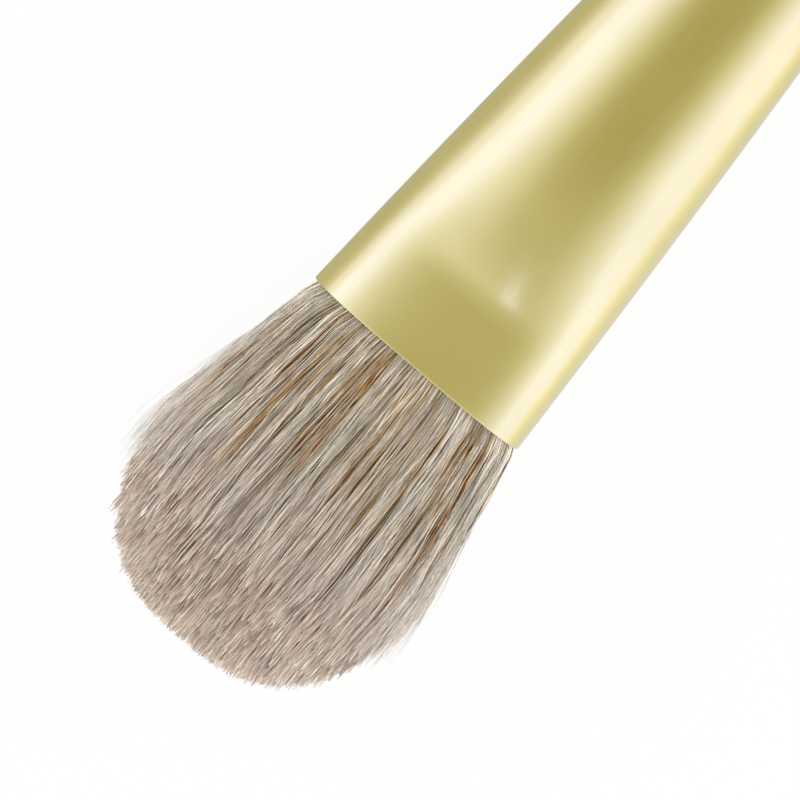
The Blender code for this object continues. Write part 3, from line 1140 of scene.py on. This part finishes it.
@dataclass
class Tuft:
    """The domed tuft: thousands of fine tapered hairs in wavy clumps, in seven locks side by side."""

    axis: BrushAxis
    form: FerruleForm
    finish: NaturalHair = NaturalHair()
    clumping: Clumping = Clumping()
    tone_mix: ToneMix = ToneMix()
    seed: int = 11
    locks: int = 7
    hairs: int = 21000
    tries: int = 8
    outer_share: float = 0.5
    outer_from: float = 0.8
    down_from: float = 0.96
    down_share: float = 0.8
    # Painted light: the down's tones are lightened to paint a pale halo along the tuft's edges.
    painted_halo_tone: float = 0.4
    length: float = 25.9 * MM
    belly_width: float = 22.7 * MM
    belly_thickness: float = 15.8 * MM
    belly_share: float = 0.54
    spread_power: float = 1.42
    dome_side_power: float = 2.85
    dome_top_power: float = 2.0
    clearance: float = 0.05 * MM
    sunk: float = 1.4 * MM
    lip: float = 0.5 * MM
    mouth_hug: float = 0.2 * MM
    hug_length: float = 1.8 * MM
    uneven: float = 0.5 * MM
    short_share: float = 0.4
    short_by: float = 2.6 * MM
    most_short: float = 12.0 * MM
    loose_from: float = 0.3 * MM
    loose_over: float = 4.0 * MM
    own_waves: Waves = Waves(((0.06 * MM, 9.0 * MM), (0.036 * MM, 4.0 * MM)))
    splay: float = 0.5 * MM
    inward: float = 0.35
    weave: Waves = Waves(((0.08 * MM, 6.0 * MM),))
    weave_inset: float = 0.048 * MM
    floor_gap: float = 0.1 * MM
    sides: int = 3
    taper_from: float = 0.75
    tip_radius_share: float = 0.45
    radius_spread: tuple[float, float] = (0.7, 1.25)
    column_margin: float = 0.2
    cap_height: float = 0.02
    down: HairCoat = HairCoat("down", 13, 0.02 * MM, 0.9 * MM, 0.52 * MM)
    coat: HairCoat = HairCoat("coat", 16, 0.058 * MM, -0.1 * MM, 0.05 * MM)
    core: HairCoat = HairCoat("core", 10, 0.056 * MM, -0.1 * MM, 0.0)

    def root_half_width(self) -> float:
        """Half-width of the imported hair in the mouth."""
        return self.form.mouth_width / 2 - self.form.wall - self.clearance

    def root_half_height(self) -> float:
        """Half-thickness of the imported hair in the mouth."""
        return self.form.mouth_thickness / 2 - self.form.wall - self.clearance

    def depth_shares(self, u: np.ndarray, v: np.ndarray) -> np.ndarray:
        """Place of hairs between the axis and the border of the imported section.

        Args:
            u: places across.
            v: places up.

        Returns:
            Shares from 0 at the axis to 1 at the border.
        """
        y, z = u * self.root_half_width(), v * self.root_half_height()
        border = self.form.radius(np.zeros_like(y), np.arctan2(z, y), self.form.wall + self.clearance)
        return np.hypot(y, z) / border

    def plant(self, dice: Dice) -> Planting:
        """Scatter the hairs over the mouth, more closely near its border, and gather them in clumps.

        Args:
            dice: the seeded source of chance.

        Returns:
            The hairs as they stand.
        """
        u = dice.uniform(-1.0, 1.0, self.hairs * self.tries)
        v = dice.uniform(-1.0, 1.0, self.hairs * self.tries)
        depth = self.depth_shares(u, v)
        outer = np.flatnonzero((depth <= 1.0) & (depth > self.outer_from))
        outer = outer[:int(self.hairs * self.outer_share)]
        inner = np.flatnonzero(depth <= self.outer_from)[:self.hairs - len(outer)]
        chosen = np.concatenate([outer, inner])
        u, v = u[chosen], v[chosen]
        ratio = self.root_half_height() / self.root_half_width()
        clump, leaders = self.clumping.gather(np.stack([u, v * ratio], axis=-1), dice)
        return Planting(u, v, clump, leaders / np.array([1.0, ratio]))

    def tip_heights(self, u: np.ndarray, v: np.ndarray) -> np.ndarray:
        """Height of the dome above each hair's place.

        Args:
            u: places across.
            v: places up.

        Returns:
            Heights above the mouth.
        """
        reach = np.minimum(self.depth_shares(u, v), 1.0)
        belly = self.belly_share * self.length
        dome = (1.0 - reach ** self.dome_side_power) ** (1.0 / self.dome_top_power)
        return belly + (self.length - belly) * dome

    def half_sizes(self, s: np.ndarray) -> list[np.ndarray]:
        """Half-width and half-thickness of the tuft, which hugs the mouth and swells to the belly.

        Args:
            s: heights above the mouth.

        Returns:
            Half-widths and half-thicknesses.
        """
        rise = smooth_step(s / self.lip)
        grow = 1.0 - (1.0 - np.clip(s / (self.belly_share * self.length), 0.0, 1.0)) ** self.spread_power
        hug = self.mouth_hug * np.exp(-np.maximum(s, 0.0) / self.hug_length) * rise
        across = (self.root_half_width(), self.form.mouth_width / 2, self.belly_width / 2)
        up = (self.root_half_height(), self.form.mouth_thickness / 2, self.belly_thickness / 2)
        return [root + (mouth - root) * rise + (full - mouth) * grow - hug
                for root, mouth, full in (across, up)]

    def heights(self, hairs: Planting, kind: HairCoat, dice: Dice) -> tuple[np.ndarray, np.ndarray]:
        """Heights of each hair's points, with some hairs well short of the dome.

        Args:
            hairs: the hairs.
            kind: the kind of hair.
            dice: the seeded source of chance.

        Returns:
            Heights: hair, step. The tips' heights: hair, 1.
        """
        count = len(hairs.u)
        tips = self.tip_heights(hairs.u, hairs.v) + kind.longer - np.abs(dice.normal(0.0, self.uneven, count))
        short = (dice.random(count) < self.short_share) * dice.exponential(self.short_by, count)
        tips = (tips - np.minimum(short, self.most_short))[:, None]
        return -self.sunk + (tips + self.sunk) * np.linspace(0.0, 1.0, kind.steps)[None, :], tips

    def centre_lines(self, hairs: Planting, kind: HairCoat, dice: Dice) -> np.ndarray:
        """Centre line of each hair.

        Args:
            hairs: the hairs.
            kind: the kind of hair.
            dice: the seeded source of chance for what each hair has alone.

        Returns:
            Points in the brush's own frame: hair, step, coordinate.
        """
        count, u, v = len(hairs.u), hairs.u[:, None], hairs.v[:, None]
        shared = np.random.default_rng(self.seed + 1)
        s, tips = self.heights(hairs, kind, dice)
        pull = self.clumping.pulls(s, hairs.clump, self.length, shared)
        clump_splay = shared.normal(0.0, self.clumping.splay, (2, self.clumping.count, 1))
        bend = self.clumping.bends(s, hairs.clump, -self.sunk, self.length + MM, shared)
        leader = hairs.leaders[hairs.clump]
        width, height = self.half_sizes(s)
        y = (u + (leader[:, :1] - u) * pull) * width
        z = (v + (leader[:, 1:] - v) * pull) * height
        loose = smooth_step((s - self.loose_from) / self.loose_over)
        shift = bend + self.own_waves.offsets(s, count, dice)
        away = np.hypot(u, v) + TINY
        round_y, round_z = -v / away, u / away
        splay = dice.normal(0.0, self.splay, (2, count, 1)) + clump_splay[:, hairs.clump]
        splay = splay * np.maximum(s, 0.0) / self.length
        weave = loose * self.weave.offsets(s, count, dice)[0]
        lift = np.abs(dice.normal(0.0, kind.lift, (count, 1))) * smooth_step(s / tips) ** 2
        round_part = loose * (shift[0] * round_y + shift[1] * round_z) + splay[0]
        out_part = self.inward * (loose * (shift[0] * round_z - shift[1] * round_y) + splay[1])
        out_part = out_part + weave - self.weave_inset * loose + lift
        y = y + round_part * round_y + out_part * round_z
        z = z + round_part * round_z - out_part * round_y
        return np.stack([-s, y, np.maximum(z, self.floor_gap - self.axis.height)], axis=-1)

    def wall_chart(self, column: np.ndarray, steps: int) -> np.ndarray:
        """Places in the chart of the corners of the hairs' walls.

        Args:
            column: each hair's column.
            steps: how many points a hair has.

        Returns:
            Places: hair, step, side, corner, coordinate.
        """
        shape = (len(column), steps - 1, self.sides)
        height = np.linspace(0.0, 1.0, steps)
        turn = self.column_margin + (1.0 - 2 * self.column_margin) * np.arange(self.sides + 1) / self.sides
        left = (column[:, None, None] + turn[None, None, :-1]) / self.finish.columns
        right = (column[:, None, None] + turn[None, None, 1:]) / self.finish.columns
        left, right, low, high = (np.broadcast_to(value, shape) for value in (
            left, right, height[None, :-1, None], height[None, 1:, None]))
        corners = ((left, low), (left, high), (right, high), (right, low))
        return np.stack([np.stack(corner, axis=-1) for corner in corners], axis=3)

    def cap_chart(self, column: np.ndarray) -> np.ndarray:
        """Places in the chart of the corners of the hairs' two ends.

        Args:
            column: each hair's column.

        Returns:
            Places: root ends and then tip ends, corner, coordinate.
        """
        across = np.array([self.column_margin, 1.0 - self.column_margin, 0.5])
        up = np.array([0.0, 0.0, self.cap_height])
        foot = np.stack([(column[:, None] + across[None, :]) / self.finish.columns,
                         np.broadcast_to(up, (len(column), len(up)))], axis=-1)
        return np.concatenate([foot, foot + np.array([0.0, 1.0 - self.cap_height])])

    def add_hairs(self, draft: MeshDraft, lines: np.ndarray, tone: np.ndarray, kind: HairCoat,
                  dice: Dice) -> None:
        """Add closed three-sided hairs to a draft.

        Args:
            draft: the mesh under work.
            lines: centre lines.
            tone: each hair's tone.
            kind: the kind of hair.
            dice: the seeded source of chance.
        """
        count, steps, _ = lines.shape
        share = np.linspace(0.0, 1.0, steps)
        thinned = smooth_step((share - self.taper_from) / (1.0 - self.taper_from))
        taper = 1.0 - thinned * (1.0 - self.tip_radius_share)
        radius = kind.radius * taper[None, :] * dice.uniform(*self.radius_spread, (count, 1))
        turn = dice.uniform(0.0, FULL_TURN, (count, 1, 1)) + np.arange(self.sides) * FULL_TURN / self.sides
        points = np.repeat(lines[:, :, None, :], self.sides, axis=2)
        points[..., 1] += radius[:, :, None] * np.cos(turn)
        points[..., 2] += radius[:, :, None] * np.sin(turn)
        index = np.arange(count * steps * self.sides).reshape(count, steps, self.sides)
        after = np.roll(index, -1, axis=2)
        walls = np.stack([index[:, :-1], index[:, 1:], after[:, 1:], after[:, :-1]], axis=-1)
        caps = np.concatenate([index[:, 0, :], index[:, -1, ::-1]])
        column = self.finish.column_of(tone)
        draft.add(self.axis.place(points.reshape(-1, 3)), [walls.reshape(-1, 4), caps],
                  [self.wall_chart(column, steps).reshape(-1, 2), self.cap_chart(column).reshape(-1, 2)])

    def build(self) -> list[bpy.types.Object]:
        """Grow the hairs, share them out among the locks, and dress them.

        Returns:
            Three pieces for each lock: down, outer coat and core.
        """
        dice = np.random.default_rng(self.seed)
        hairs = self.plant(dice)
        depth = self.depth_shares(hairs.u, hairs.v)
        tone = self.tone_mix.choose(hairs, depth, dice)
        down = (depth > self.down_from) & (dice.random(len(depth)) < self.down_share)
        outer = (depth > self.outer_from) & ~down
        # Painted light: down hairs lightened into a pale halo at the edges.
        tone[down] *= self.painted_halo_tone
        lock = np.clip(((hairs.u + 1.0) / 2 * self.locks).astype(int), 0, self.locks - 1)
        material = self.finish.material()
        pieces = []
        for kind, mine in ((self.down, down), (self.coat, outer), (self.core, ~outer & ~down)):
            lines = self.centre_lines(hairs.only(mine), kind, dice)
            for place in range(self.locks):
                here = lock[mine] == place
                draft = MeshDraft()
                self.add_hairs(draft, lines[here], tone[mine][here], kind, dice)
                piece = draft.build(f"hair_{kind.name}_{place + 1}", material)
                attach(piece, "root")
                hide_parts(f"hair_lock_{place + 1}")
                pieces.append(piece)
        return pieces


@dataclass(frozen=True)
class HiddenFixings:
    """What holds the brush together inside the ferrule: thread, resin and cement, which stay CAD nodes."""

    thread: HiddenStuff = HiddenStuff(
        "waxed_thread", srgb(206, 196, 172), roughness=0.8, scale=(2600.0, 300.0, 300.0), depth=60e-6)
    resin: HiddenStuff = HiddenStuff(
        "cast_resin", srgb(168, 120, 62), roughness=0.2, scale=(260.0, 260.0, 260.0), depth=15e-6)
    cement: HiddenStuff = HiddenStuff(
        "set_cement", srgb(200, 192, 176), roughness=0.65, scale=(900.0, 900.0, 900.0), depth=40e-6)

    def dress(self) -> None:
        """Give each hidden node its matter."""
        matter = {"root_binding": self.thread, "resin_plug": self.resin, "cement_collar": self.cement}
        for node, stuff in matter.items():
            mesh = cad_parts[node].data
            mesh.materials.clear()
            mesh.materials.append(stuff.material())


@dataclass(frozen=True)
class Softbox:
    """One square softbox, which metal and lacquer mirror only where it says so."""

    name: str
    place: tuple[float, float, float]
    size: float
    power: float
    tint: Color
    mirrored: bool = False

    def hang(self, brush: Vector) -> None:
        """Hang it so that it faces the brush.

        Args:
            brush: the middle of the ferrule's mouth, from which its place is counted.
        """
        data = bpy.data.lights.new(self.name, "AREA")
        data.size = self.size
        data.energy = self.power
        data.color = self.tint
        lamp = new_object(self.name, data)
        lamp.visible_glossy = self.mirrored
        lamp.location = brush + Vector(self.place)
        lamp.rotation_euler = (-Vector(self.place)).to_track_quat("-Z", "Y").to_euler()


@dataclass(frozen=True)
class Tent:
    """Cloth tent round the table, as angles from its crown with the light of each.

    It is brightest round the sides and dims to the crown. There it is dimmer still over the handle and a
    little brighter over the hair. Mirrored, its cloth is plain only towards the brush's two ends.
    """

    light: Sequence[tuple[float, float]] = (
        (180, 0.9), (120, 1.0), (100, 1.17), (90, 1.21), (79, 1.2), (70, 1.13), (63, 1.03), (57, 0.95),
        (50, 0.88), (43, 0.82), (37, 0.74), (30, 0.66), (23, 0.6), (15, 0.575), (0, 0.565))
    brightest: float = 2.0
    crown_aside: float = math.radians(8.5)
    crown: tuple[float, float] = (0.5, 0.87)
    over_hair: Range = (-0.17, -0.42, 0.0, 0.1)
    over_handle: Range = (-0.17, 0.2, 0.0, 0.21)
    ends: Range = (0.4, 0.62, 1.0, 0.0)
    tint: Color = (1.0, 0.99, 0.95)

    def ring_light(self, sheet: NodeSheet, height: Socket) -> Socket:
        """Light of the tent's rings.

        Args:
            sheet: the world's node sheet.
            height: cosine of the angle from the crown.

        Returns:
            The light's socket.
        """
        share = sheet.math("MULTIPLY_ADD", height, 0.5, third=0.5)
        ramp = sheet.feed(sheet.add("ShaderNodeValToRGB"), {0: share})
        stops = ramp.color_ramp.elements
        stops.remove(stops[-1])
        for number, (angle, value) in enumerate(self.light):
            place = (1.0 + math.cos(math.radians(angle))) / 2
            stop = stops[0] if number == 0 else stops.new(place)
            stop.position = place
            stop.color = (*[value / self.brightest] * 3, 1.0)
        return sheet.product(ramp.outputs[0], self.brightest)

    def pitch(self) -> None:
        """Light everything from the tent."""
        world = bpy.data.worlds.new("tent")
        world.use_nodes = True
        bpy.context.scene.world = world
        sheet = NodeSheet(world.node_tree)
        toward = sheet.add("ShaderNodeTexCoord").outputs["Generated"]
        crown = (0.0, -math.sin(self.crown_aside), math.cos(self.crown_aside))
        dot = sheet.feed(sheet.add("ShaderNodeVectorMath", operation="DOT_PRODUCT"), {0: toward, 1: crown})
        height = dot.outputs["Value"]
        along = sheet.parts(toward)[0]
        change = sheet.math("SUBTRACT", sheet.span(along, *self.over_hair),
                            sheet.span(along, *self.over_handle))
        kept = sheet.math("MULTIPLY_ADD", change, sheet.span(height, *self.crown), third=1.0)
        light = sheet.product(self.ring_light(sheet, height), kept)
        aside = sheet.span(sheet.math("ABSOLUTE", along), *self.ends)
        mirrored = sheet.product(sheet.add("ShaderNodeLightPath").outputs["Is Glossy Ray"], aside)
        shown = sheet.blend(mirrored, sheet.scaled(self.tint, light), WhiteCloth().color(sheet, light))
        sheet.join(shown, world.node_tree.nodes["Background"].inputs["Color"])


@dataclass
class Studio:
    """Pale floor, soft light from a tent and softboxes, and the camera at the photograph's angle."""

    axis: BrushAxis
    handle: Handle
    pixel: float = 0.07065 * MM
    picture: int = 800
    mouth_pixel: tuple[float, float] = (416.5, 363.0)
    axis_angle: float = math.radians(49.55)
    lean: float = math.radians(3.5)
    distance: float = 0.42
    nearest: float = 0.01
    floor_size: float = 12.0
    tent: Tent = Tent()
    softboxes: Sequence[Softbox] = (
        Softbox("softbox", (-0.41, -0.24, 0.77), 0.14, 0.03, (0.8, 0.95, 2.6), mirrored=True),
        Softbox("fill", (-0.1, -0.25, 0.85), 0.5, 2.0, (1.0, 0.98, 0.93)),
        Softbox("left_fill", (-0.05, 0.5, 0.16), 0.4, 0.7, (1.0, 0.99, 1.0)),
        Softbox("right_fill", (-0.05, -0.5, 0.16), 0.4, 0.7, (1.0, 0.99, 1.0)))

    def camera(self) -> None:
        """Set the camera square over the flat side, leaning a little towards the handle."""
        view = Vector((math.sin(self.lean), 0.0, math.cos(self.lean)))
        along = Vector((math.cos(self.lean), 0.0, -math.sin(self.lean)))
        across = view.cross(along)
        right = along * math.cos(self.axis_angle) - across * math.sin(self.axis_angle)
        up = along * math.sin(self.axis_angle) + across * math.cos(self.axis_angle)
        middle = self.picture / 2
        offset = (right * (middle - self.mouth_pixel[0]) - up * (middle - self.mouth_pixel[1])) * self.pixel
        target = self.axis.mouth_centre() + offset
        data = bpy.data.cameras.new("camera")
        data.sensor_fit = "HORIZONTAL"
        data.lens = data.sensor_width * self.distance / (self.pixel * self.picture)
        data.clip_start = self.nearest
        camera = new_object("camera", data)
        turned = Matrix((right, up, view)).transposed().to_4x4()
        camera.matrix_world = Matrix.Translation(target + view * self.distance) @ turned
        bpy.context.scene.camera = camera

    def floor(self) -> None:
        """Lay the floor under the ferrule's shoulder and the handle's swell, where the brush rests."""
        low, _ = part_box("ferrule")
        form = self.handle.form
        shoulder = self.axis.mouth + form.shoulder
        swell = self.axis.mouth + form.length + self.handle.length * self.handle.swell_share
        drop = (self.axis.height - self.handle.swell_diameter / 2 - low[2]) / (swell - shoulder)
        half = self.floor_size / 2
        outline = ((-half, -half), (half, -half), (half, half), (-half, half))
        corners = [(x, y, low[2] + (x - shoulder) * drop) for x, y in outline]
        mesh = bpy.data.meshes.new("floor")
        mesh.from_pydata(corners, [], [(0, 1, 2, 3)])
        mesh.materials.append(PaleFloor().material())
        floor = new_object("floor", mesh)

    def build(self) -> None:
        """Set the studio up."""
        bpy.context.scene.view_settings.view_transform = "Standard"
        self.camera()
        self.floor()
        self.tent.pitch()
        for softbox in self.softboxes:
            softbox.hang(self.axis.mouth_centre())


def main() -> None:
    """Build the studio and the brush, and report each piece."""
    logging.basicConfig(level=logging.INFO, format="%(name)s: %(message)s")
    axis = BrushAxis.from_frame()
    form = FerruleForm()
    handle = Handle(axis, form)
    Studio(axis, handle).build()
    LOG.info("studio set up")
    for piece in (Ferrule(axis, form).build(), handle.build(), *Tuft(axis, form).build()):
        LOG.info("%s: %d faces", piece.name, len(piece.data.polygons))
    HiddenFixings().dress()
    LOG.info("hidden fixings dressed")


if __name__ == "__main__":
    main()
